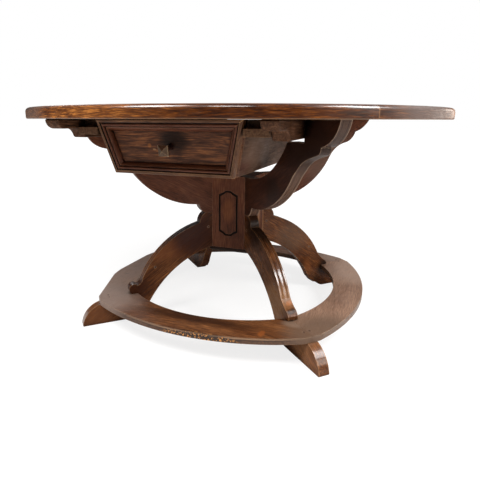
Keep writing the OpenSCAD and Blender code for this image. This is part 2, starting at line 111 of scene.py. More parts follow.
class Nodes:
    """Adds nodes to a tree and links them by name."""

    def __init__(self, tree):
        self.tree = tree
        self.tree.nodes.clear()

    def add(self, kind, inputs=None, **values):
        node = self.tree.nodes.new(kind)
        for key, value in values.items():
            setattr(node, key, value)
        for key, value in (inputs or {}).items():
            if isinstance(value, bpy.types.NodeSocket):
                self.tree.links.new(value, node.inputs[key])
            else:
                node.inputs[key].default_value = value
        return node

    def group(self, tree, inputs):
        return self.add("ShaderNodeGroup", inputs, node_tree=tree).outputs

    def math(self, operation, a, b=0.0, clamp=False):
        return self.add("ShaderNodeMath", {0: a, 1: b}, operation=operation, use_clamp=clamp).outputs[0]

    def product(self, first, *others):
        for other in others:
            first = self.math("MULTIPLY", first, other)
        return first

    def size(self, value):
        """A value without its sign."""
        return self.math("ABSOLUTE", value)

    def apart(self, a, b):
        """How far two values lie from each other."""
        return self.size(self.math("SUBTRACT", a, b))

    def total(self, *parts):
        """Sum of value times share over the parts."""
        result = 0.0
        for value, share in parts:
            inputs = {0: value, 1: share, 2: result}
            result = self.add("ShaderNodeMath", inputs, operation="MULTIPLY_ADD").outputs[0]
        return result

    def mix(self, factor, a, b, blend="MIX"):
        node = self.add("ShaderNodeMix", {0: factor, 6: a, 7: b}, data_type="RGBA", blend_type=blend)
        return node.outputs[2]

    def step(self, value, low, high, to_low=0.0, to_high=1.0):
        """Smooth rise from low to high."""
        inputs = {0: value, 1: low, 2: high, 3: to_low, 4: to_high}
        return self.add("ShaderNodeMapRange", inputs, interpolation_type="SMOOTHSTEP").outputs[0]

    def axes(self, vector):
        return self.add("ShaderNodeSeparateXYZ", {0: vector}).outputs

    def moved(self, vector, by):
        return self.add("ShaderNodeVectorMath", {0: vector, 1: by}, operation="ADD").outputs[0]

    def stretched(self, vector, scale):
        return self.add("ShaderNodeVectorMath", {0: vector, 1: scale}, operation="MULTIPLY").outputs[0]

    def dot(self, a, b):
        return self.add("ShaderNodeVectorMath", {0: a, 1: b}, operation="DOT_PRODUCT").outputs["Value"]

    def length(self, vector):
        return self.add("ShaderNodeVectorMath", {0: vector}, operation="LENGTH").outputs["Value"]

    def noise(self, vector, scale, detail=3.0, roughness=0.55):
        inputs = {"Vector": vector, "Scale": scale, "Detail": detail, "Roughness": roughness}
        return self.add("ShaderNodeTexNoise", inputs).outputs["Fac"]

    def patch(self, here, centre, radii, soft=0.6):
        """Soft-edged spot around a place, with its radii in millimetres."""
        from_centre = self.moved(here, [-c for c in centre])
        far = self.length(self.stretched(from_centre, [1 / (r * MM) for r in radii]))
        return self.step(far, 1.0, 1.0 - soft)

    def ramp(self, value, stops):
        node = self.add("ShaderNodeValToRGB", {0: value})
        elements = node.color_ramp.elements
        for element, (place, colour) in zip(elements, (stops[0], stops[-1])):
            element.position = place
            element.color = (*colour, 1)
        for place, colour in stops[1:-1]:
            elements.new(place).color = (*colour, 1)
        return node.outputs[0]


VECTOR, FLOAT = "NodeSocketVector", "NodeSocketFloat"


def new_group(name, inputs, outputs):
    group = bpy.data.node_groups.new(name, "ShaderNodeTree")
    for label, kind in inputs:
        group.interface.new_socket(label, in_out="INPUT", socket_type=kind)
    for label, kind in outputs:
        group.interface.new_socket(label, in_out="OUTPUT", socket_type=kind)
    n = Nodes(group)
    source = n.add("NodeGroupInput")
    target = n.add("NodeGroupOutput")
    return group, n, source.outputs, target.inputs


def oak_grain_group():
    """Oak figure along local X: streaks, fibres, open pores, slow changes of tone and uneven planing."""
    group, n, given, out = new_group(
        "oak_grain",
        [("Vector", VECTOR), ("Streaks", FLOAT), ("Contrast", FLOAT), ("Lines", FLOAT)],
        [("Figure", FLOAT), ("Pores", FLOAT), ("Tone", FLOAT), ("Fibres", FLOAT), ("Waves", FLOAT)],
    )
    v, streaks = given["Vector"], given["Streaks"]
    bend = n.noise(n.stretched(v, (3, 8, 8)), 1.0, 2.0)
    sway = {1: n.product(bend, 0.03), 2: n.product(bend, -0.02)}
    v = n.moved(v, n.add("ShaderNodeCombineXYZ", sway).outputs[0])

    bold = n.noise(n.stretched(v, (0.07, 1, 1)), streaks, 3.0, 0.6)
    fine = n.noise(n.stretched(v, (0.06, 2.8, 2.8)), streaks, 3.0, 0.65)
    slow = n.noise(n.stretched(v, (2.2, 11, 11)), 1.0, 2.0, 0.5)
    fibres = n.noise(n.stretched(v, (18, 620, 620)), 1.0, 3.0, 0.6)
    dashes = n.noise(n.stretched(v, (45, 760, 760)), 1.0, 2.0, 0.5)
    rings = n.apart(n.math("FRACT", n.product(slow, 11.0)), 0.5)

    figure = n.total((bold, 0.52), (fine, 0.30), (slow, 0.10), (fibres, 0.08))
    figure = n.total((n.math("SUBTRACT", figure, 0.5), n.product(given["Contrast"], 4.2)), (0.5, 1.0))
    dark_rings = n.product(n.step(rings, 0.14, 0.02), given["Lines"])
    figure = n.math("SUBTRACT", figure, dark_rings, True)

    n.tree.links.new(figure, out["Figure"])
    n.tree.links.new(n.step(dashes, 0.58, 0.70), out["Pores"])
    n.tree.links.new(n.noise(n.stretched(v, (5, 11, 11)), 1.0, 3.0, 0.6), out["Tone"])
    n.tree.links.new(fibres, out["Fibres"])
    n.tree.links.new(n.noise(n.stretched(v, (14, 38, 38)), 1.0, 2.0, 0.5), out["Waves"])
    return group


def patina_and_shade_group():
    """Wear on the edges, crumbs of broken polish, rubbed places, and painted shade in corners and recesses
    with the old polish there.
    """
    group, n, given, out = new_group(
        "old_patina_and_shade",
        [("Vector", VECTOR), ("Wear Width", FLOAT), ("Corner Reach", FLOAT), ("Chip Scale", FLOAT)],
        [("Wear", FLOAT), ("Crumbs", FLOAT), ("Corners", FLOAT), ("Rubbed", FLOAT)],
    )
    v = given["Vector"]
    rounded = n.add("ShaderNodeBevel", {"Radius": given["Wear Width"]}, samples=6).outputs[0]
    flat = n.add("ShaderNodeNewGeometry").outputs["Normal"]
    edge = n.step(n.dot(rounded, flat), 0.995, 0.88)
    broken = n.step(n.noise(v, 34.0, 4.0, 0.7), 0.36, 0.60)
    shade = n.add("ShaderNodeAmbientOcclusion", {"Distance": given["Corner Reach"]}, samples=6)

    n.tree.links.new(n.product(edge, n.total((broken, 0.7), (0.3, 1.0))), out["Wear"])
    n.tree.links.new(n.step(n.noise(v, given["Chip Scale"], 2.0, 0.6), 0.53, 0.60), out["Crumbs"])
    # Corners is ambient occlusion: painted shade in corners and recesses, with the old polish there
    n.tree.links.new(n.step(shade.outputs["AO"], 0.80, 0.30), out["Corners"])
    n.tree.links.new(n.step(n.noise(v, 8.0, 3.0, 0.6), 0.42, 0.66), out["Rubbed"])
    return group


OAK_GRAIN = oak_grain_group()
PATINA_AND_SHADE = patina_and_shade_group()

# Oak finishes

# The near black serves both real dirt and painted shade; the mauve and the pale grey on the next line are
# painted sheen
ORANGE, DIRT_AND_SHADE, TAN = (0.36, 0.12, 0.03), (0.012, 0.006, 0.004), (0.30, 0.16, 0.075)
MAUVE_SHEEN, GREY_SHEEN = (0.105, 0.078, 0.069), (0.19, 0.128, 0.10)
CRUMB = (0.46, 0.19, 0.045)

# Slow changes of tone, from dark and warm to light and cool
TONES = [(0.32, (0.60, 0.50, 0.44)), (0.5, (1.0, 1.0, 1.0)), (0.68, (1.35, 1.42, 1.45))]

# Distance of the quirk and of the outer arris from a board's middle plane, in millimetres
QUIRK = 9.1
ARRIS = (14.5, 16.5)

# Stretch of the grain along the rim, and on the flat of the top
RIM_SQUEEZE, FLAT_SQUEEZE = (0.9, 0.063, 1, 1), (0.14, 0.55, 1, 1)


def tinted(colour, share=1.0):
    """A colour with its alpha, lighter or darker by a share."""
    return (*[c * share for c in colour], 1)


def rim_grain(n, normal, laid):
    """Grain laid level round a rim, and masks of the rim's rounded corner and of the flat beside it."""
    rise = n.size(n.axes(normal)["Z"])
    squeeze = n.mix(n.step(rise, 0.80, 0.97), RIM_SQUEEZE, FLAT_SQUEEZE)
    corner = n.product(n.step(rise, 0.16, 0.30), n.step(rise, 0.98, 0.90))
    return n.stretched(laid, squeeze), corner, n.step(rise, 0.96, 0.995)


def moulded_edge(n, colour, here, broad, edge, run, deep, worn):
    """Darker quirks along a board's edge, and lighter worn arrises beside them that, where run is strong,
    make a painted highlight line.
    """
    off = n.size(n.dot(here, broad))
    quirk = n.step(n.apart(off, QUIRK * MM), 0.0014, 0.0005)
    arris = n.step(off, ARRIS[0] * MM, ARRIS[1] * MM)
    colour = n.mix(n.product(edge, quirk, run), colour, deep)
    return n.mix(n.product(edge, arris, run * 0.7), colour, tinted(worn))


def clear_of_mitres(n, here):
    """Mask that fades at the diagonals, where two boards meet."""
    axes = n.axes(here)
    off = n.apart(n.size(axes["X"]), n.size(axes["Y"]))
    return n.step(n.size(off), 0.005, 0.016)


def chipped_edge(n, colour, here, crumbs, centre, radii):
    """Dark stretch of edge whose polish has broken into crumbs."""
    region = n.patch(here, centre, radii, 0.35)
    colour = n.mix(n.product(region, 0.75), colour, tinted(DIRT_AND_SHADE))
    return n.mix(n.product(region, crumbs), colour, tinted(CRUMB))


def uneven_surface(n, wood, waves):
    """Fibres and pores over the slow waves that the plane left."""
    height = n.total((wood["Fibres"], 0.5), (wood["Pores"], -0.8), (wood["Figure"], 0.3))
    fine = n.add("ShaderNodeBump", {"Height": height, "Strength": 0.3, "Distance": 0.0006}).outputs[0]
    inputs = {"Height": wood["Waves"], "Strength": 1.0, "Distance": waves, "Normal": fine}
    return n.add("ShaderNodeBump", inputs).outputs[0]


def shining_edge(n, here, edge, polish):
    """Coat on the edges, in the places where they still shine."""
    coat = 0.0
    for centre, radii, strength in polish:
        coat = n.total((n.patch(here, centre, radii, 0.4), strength), (coat, 1.0))
    return n.product(edge, coat) if polish else coat


def oak(name, grain, dark, middle, light, worn, gloss=0.36, streaks=190.0, contrast=0.5, lines=0.1,
        mottle=0.5, wear=0.6, width=4.0, chipped=None, corners=0.8, reach=30.0, waves=0.0008,
        specular=0.4, place=(0, 0, 0), patches=(), broad=None, sawn=None, polish=(), rim=False,
        mitred=False, run=0.0):
    """Old polished oak whose grain runs along a direction.

    patches are stains, rubbed spots, painted shade, painted highlights and painted sheen: place,
    radii, tint, strength and how it mixes. chipped is the place and radii of an edge where the
    polish has crumbled. broad is the direction that a board's faces look in: sawn tints the edges
    that lie across it, run darkens the quirks along them and lightens the arrises beside as wear
    and, where strong, a painted highlight line, and polish makes them shine in places, given by
    centre, radii and strength. rim lays the figure level along a round edge, and polish is then on
    its rounded corner. width and reach are those of the wear and of the painted corner shade with
    old polish, in millimetres.
    """
    material = bpy.data.materials.new(name)
    material.use_nodes = True
    n = Nodes(material.node_tree)
    deep = tinted(dark, 0.35)

    turn = Vector(grain).normalized().rotation_difference(Vector(X)).to_euler()
    here = n.add("ShaderNodeTexCoord").outputs["Object"]
    laid = n.add("ShaderNodeMapping", {"Vector": here, "Rotation": turn, "Location": place}).outputs[0]
    normal = n.add("ShaderNodeNewGeometry").outputs["Normal"]
    edge = level = 0.0
    if rim:
        laid, edge, level = rim_grain(n, normal, laid)
    if broad:
        edge = n.step(n.size(n.dot(normal, broad)), 0.85, 0.35)
    wood = n.group(OAK_GRAIN, {"Vector": laid, "Streaks": streaks, "Contrast": contrast, "Lines": lines})
    age = n.group(PATINA_AND_SHADE, {"Vector": here, "Wear Width": width * MM, "Corner Reach": reach * MM,
                           "Chip Scale": 150.0})

    colour = n.ramp(wood["Figure"], [(0.0, dark), (0.5, middle), (1.0, light)])
    if rim:
        colour = n.mix(n.product(level, 0.5), colour, tinted(middle, 0.95))
    tone = n.ramp(wood["Tone"], TONES)
    colour = n.mix(mottle, colour, n.mix(1.0, colour, tone, "MULTIPLY"))
    colour = n.mix(n.product(wood["Pores"], 0.45), colour, deep)
    if sawn:
        tint = n.mix(wood["Figure"], tinted(sawn, 0.55), tinted(sawn, 1.35))
        colour = n.mix(n.product(edge, 0.75), colour, tint)
    if run:
        colour = moulded_edge(n, colour, here, broad, edge, run, deep, worn)
    for centre, radii, tint, strength, *how in patches:
        colour = n.mix(n.product(n.patch(here, centre, radii), strength), colour, tinted(tint), *how)
    # Painted shade in corners and recesses, with the old polish there
    colour = n.mix(n.product(age["Corners"], corners), colour, deep)
    worn_edge = n.product(age["Wear"], wear)
    if mitred:
        worn_edge = n.product(worn_edge, clear_of_mitres(n, here))
    colour = n.mix(worn_edge, colour, tinted(worn))
    if chipped:
        colour = chipped_edge(n, colour, here, age["Crumbs"], *chipped)

    rough = n.total((wood["Figure"], -0.10), (age["Rubbed"], 0.14), (wood["Pores"], 0.15), (level, 0.2),
                    (gloss + 0.05, 1.0))
    shader = n.add("ShaderNodeBsdfPrincipled", {
        "Base Color": colour, "Roughness": rough, "Normal": uneven_surface(n, wood, waves), "IOR": 1.46,
        "Specular IOR Level": specular, "Coat Weight": shining_edge(n, here, edge, polish),
        "Coat Roughness": 0.15,
    })
    n.add("ShaderNodeOutputMaterial", {0: shader.outputs[0]})
    return material


# Palettes: the dark, middle and light of the figure, and the bare wood of worn edges

BROWN = {"dark": (0.024, 0.008, 0.003), "middle": (0.090, 0.031, 0.011), "light": (0.25, 0.092, 0.028),
         "worn": (0.36, 0.19, 0.085)}
RED = {"dark": (0.010, 0.003, 0.001), "middle": (0.037, 0.011, 0.005), "light": (0.090, 0.028, 0.011),
       "worn": (0.38, 0.26, 0.18)}
RUSSET = {"dark": (0.026, 0.008, 0.004), "middle": (0.100, 0.031, 0.014), "light": (0.22, 0.080, 0.034),
          "worn": (0.30, 0.18, 0.11)}
HONEY = {"dark": (0.022, 0.006, 0.002), "middle": (0.100, 0.030, 0.008), "light": (0.38, 0.135, 0.028),
         "worn": (0.40, 0.20, 0.08)}
GREY = {"dark": (0.014, 0.006, 0.003), "middle": (0.060, 0.026, 0.013), "light": (0.155, 0.072, 0.038),
        "worn": (0.28, 0.16, 0.09)}
HORN = {"dark": (0.028, 0.015, 0.008), "middle": (0.080, 0.046, 0.024), "light": (0.165, 0.098, 0.052),
        "worn": (0.50, 0.34, 0.19)}
RUNNER = {"dark": (0.026, 0.012, 0.006), "middle": (0.090, 0.045, 0.024), "light": (0.20, 0.108, 0.058),
          "worn": (0.30, 0.18, 0.10)}
# Near black: painted shade in the panel's groove
GROOVE = {"dark": (0.004, 0.002, 0.001), "middle": (0.010, 0.004, 0.002), "light": (0.026, 0.010, 0.005),
          "worn": (0.08, 0.03, 0.015)}
PLATE = {"dark": (0.006, 0.003, 0.002), "middle": (0.020, 0.009, 0.005), "light": (0.060, 0.030, 0.018),
         "worn": (0.20, 0.12, 0.075)}
DRAWER = {"dark": (0.020, 0.007, 0.004), "middle": (0.068, 0.026, 0.013), "light": (0.24, 0.084, 0.028),
          "worn": (0.36, 0.19, 0.085)}
DRAWER_SIDE = {"dark": (0.022, 0.010, 0.006), "middle": (0.072, 0.040, 0.026),
               "light": (0.15, 0.090, 0.060), "worn": (0.30, 0.18, 0.10)}
LIP = {"dark": (0.030, 0.011, 0.004), "middle": (0.095, 0.040, 0.017), "light": (0.22, 0.105, 0.046),
       "worn": (0.50, 0.28, 0.12)}
BEAD = {"dark": (0.022, 0.006, 0.003), "middle": (0.078, 0.024, 0.011), "light": (0.18, 0.066, 0.028),
        "worn": (0.28, 0.13, 0.06)}
# Near black: painted shade in the frame's quirks and on the knob's neck
HOLLOW = {"dark": (0.006, 0.002, 0.001), "middle": (0.016, 0.005, 0.003), "light": (0.040, 0.012, 0.006),
          "worn": (0.10, 0.04, 0.02)}
REST_DARK = {"dark": (0.020, 0.006, 0.003), "middle": (0.092, 0.033, 0.012), "light": (0.24, 0.092, 0.030),
             "worn": (0.30, 0.20, 0.12)}
# Side boards of the footrest: partly their own paler wood and partly painted sheen
REST_PALE = {"dark": (0.090, 0.045, 0.028), "middle": (0.225, 0.126, 0.080), "light": (0.38, 0.232, 0.155),
             "worn": (0.34, 0.24, 0.16)}


def toned(palette, share):
    return {key: tuple(c * share for c in colour) for key, colour in palette.items()}


# Top: each plank has its own tone, and the rim has painted shade and sheen as well as wear

PLANK_TONES = (1.0, 0.84, 1.10, 0.90, 1.05, 0.82)
# On the rim, in order: painted shade over the middle and right, painted sheen at the right end, painted
# sheen at the left highlight, painted shade below the right highlight, a light line at the front joint, and
# wear along the lower edge
RIM_SPOTS = [((0.35, -0.60, 0.733), (420, 330, 90), (0.45, 0.38, 0.34), 0.95, "MULTIPLY"),
             ((0.66, -0.32, 0.733), (235, 235, 60), MAUVE_SHEEN, 0.85),
             ((-0.40, -0.60, 0.733), (150, 120, 60), (0.11, 0.068, 0.052), 0.7),
             ((0.475, -0.54, 0.730), (70, 60, 7), DIRT_AND_SHADE, 0.6),
             ((0.518, -0.497, 0.732), (40, 1.3, 20), TAN, 0.25),
             ((0, 0, 0.7165), (4000, 4000, 3.4), (0.20, 0.10, 0.042), 0.6)]
TOP_FINISH = {"specular": 0.22, "wear": 0.25, "streaks": 430, "contrast": 0.95, "mottle": 0.9,
              "corners": 0.3, "waves": 0.0012, "rim": True}


def joint_lines(plank):
    """Dirt along the joints on both sides of a plank."""
    beside = JOINTS[max(plank - 1, 0):plank + 1]
    return [((0, y, TABLE_TOP), (4000, 3.2, 6), DIRT_AND_SHADE, 0.85) for y in beside]


def top_oak(plank):
    """The front plank, whose rim is seen, is polished best."""
    front = plank == 0
    return oak("top_oak_%d" % (plank + 1), X, **toned(HONEY, PLANK_TONES[plank]), **TOP_FINISH,
               gloss=0.26 if front else 0.40, place=(0.37 * plank, 0.21 * plank, 0.13 * plank),
               polish=[((0, 0, TABLE_TOP), (9000, 9000, 24), 0.9 if front else 0.3)],
               patches=RIM_SPOTS + joint_lines(plank))


top_oaks = [top_oak(plank) for plank in range(PLANKS)]

# Battens, runners, plate and pegs

batten_oak = oak("batten_oak", Y, **GREY, gloss=0.5, wear=0.8, contrast=0.7, specular=0.07, mottle=0.9)
runner_oak = oak("runner_oak", Y, **RUNNER, gloss=0.6, wear=0.3, contrast=0.5, specular=0.12)
plate_oak = oak("plate_oak", X, **PLATE, gloss=0.45, specular=0.12, wear=0.8)
peg_oak = oak("peg_oak", Z, **RED, gloss=0.5)

# Core: painted shade under the drawer, with lighter and darker strips painted on its right side as the
# highlight and shade of a moulding

POST_MARKS = [((0, -0.091, 0.385), (30, 14, 60), (0.22, 0.070, 0.020), 0.4),
              ((0, -0.091, 0.300), (40, 14, 34), DIRT_AND_SHADE, 0.2),
              ((BLOCK_FACE, 0.0, 0.34), (8, 15, 230), TAN, 0.5),
              ((BLOCK_FACE, 0.034, 0.34), (8, 8, 230), DIRT_AND_SHADE, 0.8),
              ((BLOCK_FACE, 0.062, 0.34), (8, 15, 230), TAN, 0.5),
              ((0, 0, 0.545), (250, 250, 30), (0.30, 0.25, 0.25), 0.9, "MULTIPLY")]
post_oak = oak("post_oak", Z, **RUSSET, gloss=0.40, contrast=0.5, streaks=300, reach=12, wear=0.5,
               specular=0.12, corners=1.0, mottle=0.8, patches=POST_MARKS)
# The panel's groove is painted near black, as shade
groove_oak = oak("groove_oak", Z, **GROOVE, gloss=0.5, specular=0.1, wear=0.2)

# Drawer: a painted shadow around the knob, with a rubbed spot beside it

DRAWER_MARKS = [((0.012, -0.521, 0.662), (62, 60, 48), DIRT_AND_SHADE, 0.92),
                ((-0.066, -0.518, 0.647), (8, 30, 8), ORANGE, 0.4),
                ((-0.052, -0.517, 0.637), (7, 30, 3), TAN, 0.6)]
# The drawer side is dark red at its lower front, with a painted highlight towards its back
SIDE_MARKS = [((0.205, -0.45, 0.590), (40, 110, 36), (0.050, 0.013, 0.007), 0.85),
              ((0.20, -0.36, 0.625), (40, 170, 70), (0.22, 0.138, 0.10), 0.4)]
drawer_oak = oak("drawer_oak", X, **DRAWER, gloss=0.42, streaks=235, contrast=0.8, mottle=0.6, lines=0.2,
                 wear=0.6, reach=14, specular=0.12, patches=DRAWER_MARKS)
side_oak = oak("side_oak", Y, **DRAWER_SIDE, gloss=0.5, streaks=260, contrast=0.6, mottle=1.0,
               specular=0.08, patches=SIDE_MARKS)

FRAME_FINISH = {"gloss": 0.36, "streaks": 300, "width": 2.4, "wear": 0.7, "reach": 9, "specular": 0.2}
frame_oaks = {}
for lie, grain in (("level", X), ("upright", Z)):
    frame_oaks[lie] = [oak("%s_oak_%s" % (part, lie), grain, **palette, **FRAME_FINISH)
                       for part, palette in (("lip", LIP), ("bead", BEAD), ("quirk", HOLLOW))]

KNOB_FINISH = {"gloss": 0.38, "specular": 0.2, "wear": 1.0, "width": 2.2, "contrast": 0.4,
               "streaks": 500, "reach": 6}
# Lower facets of the knob's head are tan; those that look up are painted dark, as shade
knob_oaks = [oak("knob_oak_tan", Y, **HORN, **KNOB_FINISH),
             oak("knob_oak_dark", Y, **{**GREY, "worn": HORN["light"]}, **KNOB_FINISH)]
# The neck is painted near black, as the shade under the knob's head
neck_oak = oak("neck_oak", Y, **HOLLOW, gloss=0.5, wear=0.1, specular=0.15)

# Footrest: dark and worn in front, pale at the sides with painted sheen, and a painted highlight along the
# upper arris

# A painted highlight along the footrest's upper arris, and a dark line below it
ARRIS_HIGHLIGHT = ((0.12, -0.50, 0.0915), (430, 330, 2.4), (0.34, 0.21, 0.12), 0.6)
DARK_LINE = ((0.12, -0.50, 0.0868), (430, 330, 1.8), DIRT_AND_SHADE, 0.6)
KNOTS = [((-0.354, -0.299, REST_HIGH), (6, 6, 6), DIRT_AND_SHADE, 0.9),
         ((-0.320, -0.320, REST_HIGH), (5, 5, 5), DIRT_AND_SHADE, 0.9),
         ((-0.429, -0.139, REST_HIGH), (16, 9, 9), DIRT_AND_SHADE, 0.6),
         ((0.395, -0.33, REST_HIGH), (5, 5, 5), DIRT_AND_SHADE, 0.8)]
# Painted sheen over the footrest's front left corner
SHEEN_CORNER = ((-0.38, -0.37, REST_HIGH), (210, 190, 60), GREY_SHEEN, 0.95)
REST_MARKS = KNOTS + [ARRIS_HIGHLIGHT, DARK_LINE, SHEEN_CORNER]
FRONT_REST_MARKS = [((0.40, -0.36, REST_HIGH), (150, 120, 60), (0.105, 0.060, 0.036), 0.9),
                    ((0.310, -0.325, REST_HIGH), (48, 34, 30), (0.20, 0.135, 0.095), 0.6),
                    # Painted sheen on the back board's right end
                    ((0.40, 0.42, REST_HIGH), (220, 170, 60), (0.26, 0.18, 0.14), 0.75),
                    ((-0.01, -0.405, REST_HIGH), (290, 34, 12), (0.030, 0.010, 0.004), 0.75),
                    ((0.236, -0.422, REST_HIGH), (14, 26, 12), (0.26, 0.070, 0.014), 0.5)]
# The pale patches on the side boards are painted sheen
SIDE_REST_MARKS = [((-0.45, -0.08, REST_HIGH), (150, 230, 60), (0.22, 0.15, 0.12), 0.6),
                   ((0.46, 0.28, REST_HIGH), (150, 260, 60), (0.34, 0.24, 0.185), 0.6),
                   ((0.42, -0.36, REST_HIGH), (170, 190, 60), (0.105, 0.060, 0.036), 0.9)]
REST_CHIPS = ((0.075, -0.500, 0.078), (165, 45, 22))
REST_FINISH = {"gloss": 0.32, "streaks": 300, "wear": 0.4, "width": 6, "specular": 0.33,
               "waves": 0.0012, "mitred": True, "broad": Z, "sawn": (0.062, 0.030, 0.016)}
rest_front_oak = oak("rest_oak_front", X, **REST_DARK, **REST_FINISH, contrast=0.9, mottle=0.8,
                     chipped=REST_CHIPS, patches=REST_MARKS + FRONT_REST_MARKS)
rest_side_oak = oak("rest_oak_side", Y, **REST_PALE, **REST_FINISH, contrast=0.5, mottle=0.45,
                    place=(0.4, 0.1, 0.0), patches=REST_MARKS + SIDE_REST_MARKS)
rest_oaks = {"front": rest_front_oak, "back": rest_front_oak, "left": rest_side_oak, "right": rest_side_oak}

# Arms: dark red-brown, the front right one darkest, partly from its stain and partly from painted shade;
# all painted in shade under the drawer

ARM_RISE = 26
# A painted shadow line below the front right arm's step, painted shade under the drawer and over the front
# right arm's face, then two lighter patches
ARM_MARKS = [(on_board("front_right", 556, 644), (24, 24, 1.8), DIRT_AND_SHADE, 0.9),
             ((0, 0, 0.545), (250, 250, 45), (0.30, 0.25, 0.25), 0.9, "MULTIPLY"),
             (on_board("front_right", 480, 655, -18), (210, 210, 130), (0.014, 0.006, 0.004), 0.8),
             (on_board("front_right", 300, 500, -18), (60, 60, 60), (0.012, 0.005, 0.003), 0.7),
             (on_board("front_right", 300, 405, -18), (90, 90, 26), (0.12, 0.060, 0.032), 0.5),
             (on_board("back_right", 430, 560, -18), (220, 220, 150), (0.125, 0.080, 0.060), 0.55)]
ARM_FINISH = {"gloss": 0.34, "streaks": 300, "contrast": 0.5, "mottle": 0.8, "wear": 0.7,
              "specular": 0.15, "sawn": (0.105, 0.060, 0.040), "run": 0.6}
# The front right arm takes the darker palette, partly its stain and partly painted shade
arm_oaks = {corner: oak("arm_oak_" + corner, board_grain(corner, ARM_RISE), **ARM_FINISH,
                        **(RED if corner == "front_right" else RUSSET), place=(0.3 * i, 0.17 * i, 0),
                        broad=across(corner), patches=ARM_MARKS)
            for i, corner in enumerate(CORNERS)}

# Legs: brown and glossy, with painted light on the bends and feet, and painted shade beside the core and
# under the footrest

LEG_FALL = -34
LEG_MARKS = {
    # Front left: painted light on the bend, painted shade beside the core and under the footrest, painted
    # light on the foot
    "front_left": [(on_board("front_left", 300, 250), (120, 120, 60), (0.17, 0.055, 0.018), 0.6),
                   (on_board("front_left", 190, 300), (130, 130, 120), (0.030, 0.007, 0.004), 0.85),
                   (on_board("front_left", 425, 105), (100, 100, 75), (0.036, 0.011, 0.006), 0.75),
                   (on_board("front_left", 540, 30), (90, 90, 70), (0.17, 0.058, 0.018), 0.5)],
    # Front right: painted shade beside the core, painted light on the bend, an orange spot, orange wear at
    # the waist, a dark block above the footrest, painted light on the foot
    "front_right": [(on_board("front_right", 190, 345), (90, 90, 100), DIRT_AND_SHADE, 0.92),
                    (on_board("front_right", 345, 130), (85, 85, 85), (0.26, 0.125, 0.052), 0.75),
                    (on_board("front_right", 290, 260), (16, 26, 30), ORANGE, 0.25),
                    (on_board("front_right", 404, 141), (14, 40, 9), ORANGE, 0.6),
                    (on_board("front_right", 421, 122), (20, 40, 9), DIRT_AND_SHADE, 0.7),
                    (on_board("front_right", 500, 50), (80, 80, 60), (0.22, 0.105, 0.050), 0.6)],
    # Back right: painted shadow under the footrest, a paler patch, an orange spot, and lighter, darker and
    # lighter strips painted at its top as the highlight and shade of a moulding
    "back_right": [(on_board("back_right", 425, 84), (58, 60, 52), DIRT_AND_SHADE, 0.95),
                   (on_board("back_right", 250, 240), (110, 110, 90), (0.120, 0.068, 0.040), 0.5),
                   (on_board("back_right", 345, 95), (22, 60, 60), (0.26, 0.080, 0.020), 0.3),
                   (on_board("back_right", 103, 330), (6, 60, 45), TAN, 0.8),
                   (on_board("back_right", 110, 330), (4, 60, 45), DIRT_AND_SHADE, 0.8),
                   (on_board("back_right", 118, 330), (6, 60, 45), TAN, 0.6)],
    # Back left: painted shade under the footrest
    "back_left": [(on_board("back_left", 430, 40), (60, 60, 60), DIRT_AND_SHADE, 0.5)],
}
LEG_FINISH = {"gloss": 0.26, "specular": 0.13, "streaks": 300, "contrast": 0.75, "mottle": 0.9,
              "waves": 0.0014}


def leg_polish(corner):
    """Where a leg's top edge shines: along the bend, at the footrest and on the toe."""
    return [(on_board(corner, 315, 221), (107, 107, 107), 1.0 if corner == "front_right" else 0.6),
            (on_board(corner, 416, 131), (24, 24, 7), 1.0),
            (on_board(corner, 590, 60), (70, 70, 60), 0.5)]


# The front left leg's strong run paints a highlight line along its arris
leg_oaks = {corner: oak("leg_oak_" + corner, board_grain(corner, LEG_FALL), **BROWN, **LEG_FINISH,
                        place=(0.23 * i, 0.31 * i, 0), broad=across(corner),
                        run=0.9 if corner == "front_left" else 0.35, polish=leg_polish(corner),
                        patches=LEG_MARKS[corner])
            for i, corner in enumerate(CORNERS)}

# Geometry helpers


def timber(node):
    """A clean copy of a frame node: doubles merged, flat faces whole."""
    bm = bmesh.new()
    bm.from_mesh(nodes[node].data)
    bmesh.ops.remove_doubles(bm, verts=bm.verts, dist=0.02 * MM)
    bmesh.ops.dissolve_limit(bm, angle_limit=math.radians(0.8), verts=bm.verts, edges=bm.edges)
    return bm


def corner_edges(bm, least, wanted):
    """The edges that turn by at least an angle, and that the picker wants."""
    found = []
    for edge in bm.edges:
        if len(edge.link_faces) == 2 and edge.calc_face_angle(0) > math.radians(least):
            if wanted is None or wanted(edge):
                found.append(edge)
    return found


def soften(bm, width, segments=2, least=35.0, wanted=None):
    """Rounds the arrises that a hand would have eased."""
    edges = corner_edges(bm, least, wanted)
    if edges:
        bmesh.ops.bevel(bm, geom=edges, offset=width * MM, offset_type="OFFSET", segments=segments,
                        profile=0.5, affect="EDGES", clamp_overlap=True, material=-1)


def finish_piece(name, bm, material, body, stands_for, sharp=40.0):
    """Turns a bmesh into a piece that rides on a body and stands for frame nodes."""
    mesh = bpy.data.meshes.new(name)
    bm.to_mesh(mesh)
    bm.free()
    mesh.shade_smooth()
    mesh.set_sharp_from_angle(angle=math.radians(sharp))
    for each in material if isinstance(material, list) else [material]:
        mesh.materials.append(each)
    piece = bpy.data.objects.new(name, mesh)
    scene.collection.objects.link(piece)
    weighted = piece.modifiers.new("flat_faces_stay_flat", "WEIGHTED_NORMAL")
    weighted.keep_sharp = True
    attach(piece, body)
    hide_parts(*stands_for)


def dress(node, material, body="table", width=1.5):
    """The frame's own shape with eased arrises."""
    bm = timber(node)
    soften(bm, width)
    finish_piece(node + "_wood", bm, material, body, [node])


def keep(node, material):
    """A frame node that stays as it is, with a better material."""
    data = nodes[node].data
    data.materials.clear()
    data.materials.append(material)


# Top

LONG_ARRIS = 0.3


